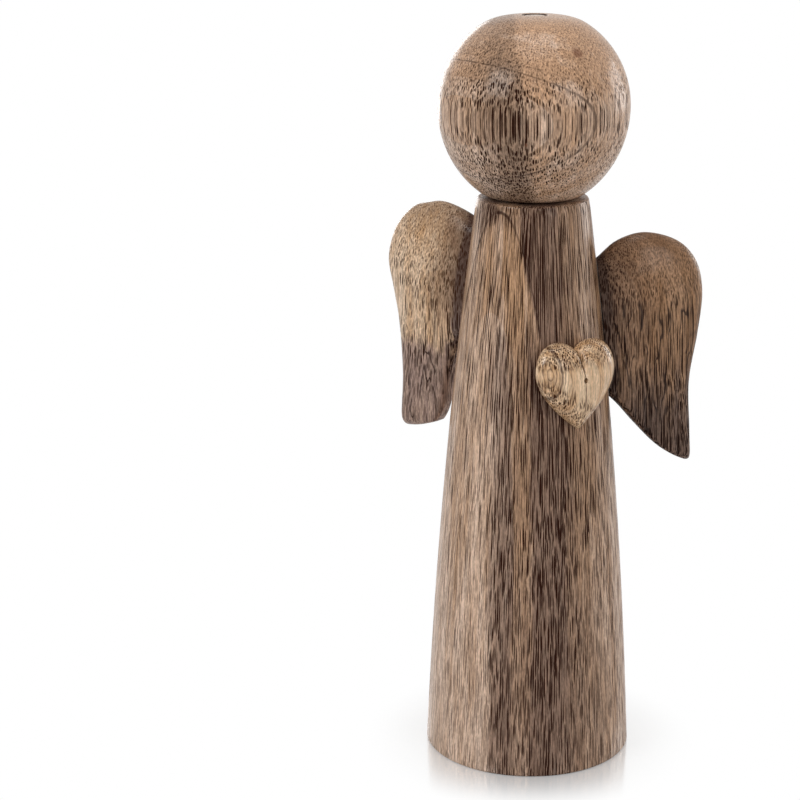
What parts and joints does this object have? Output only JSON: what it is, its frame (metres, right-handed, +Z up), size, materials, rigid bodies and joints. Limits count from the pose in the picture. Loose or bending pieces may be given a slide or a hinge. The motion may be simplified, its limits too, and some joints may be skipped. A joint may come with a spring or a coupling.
{
  "type": "wooden angel figurine",
  "caption": "Free-standing turned wooden angel with a conical body, a ball head, dowelled carved wings and a small pinned heart on the breast.",
  "frame": {"origin": "centre of the flat underside of the body", "axes": "+Z up along the axis of the body, -Y towards the front of the figure, +X towards its left wing"},
  "size_m": [0.0872, 0.056, 0.2003],
  "materials": {
    "body_wood": "oiled brown hardwood with long dark pores, satin",
    "head_wood": "oiled brown hardwood with a dark band, satin",
    "wing_wood": "oiled golden brown hardwood, dark towards the tips, satin",
    "heart_wood": "pale golden sapwood, satin",
    "dowel_wood": "plain beech, end grain bare",
    "brad_steel": "dark steel wire"
  },
  "bodies": {
    "root": {"body": "body_wood", "head": "head_wood", "neck_dowel": "dowel_wood", "left_wing": "wing_wood", "right_wing": "wing_wood", "left_wing_upper_dowel": "dowel_wood", "left_wing_lower_dowel": "dowel_wood", "right_wing_upper_dowel": "dowel_wood", "right_wing_lower_dowel": "dowel_wood", "heart": "heart_wood", "heart_brad": "brad_steel"}
  },
  "joints": []
}
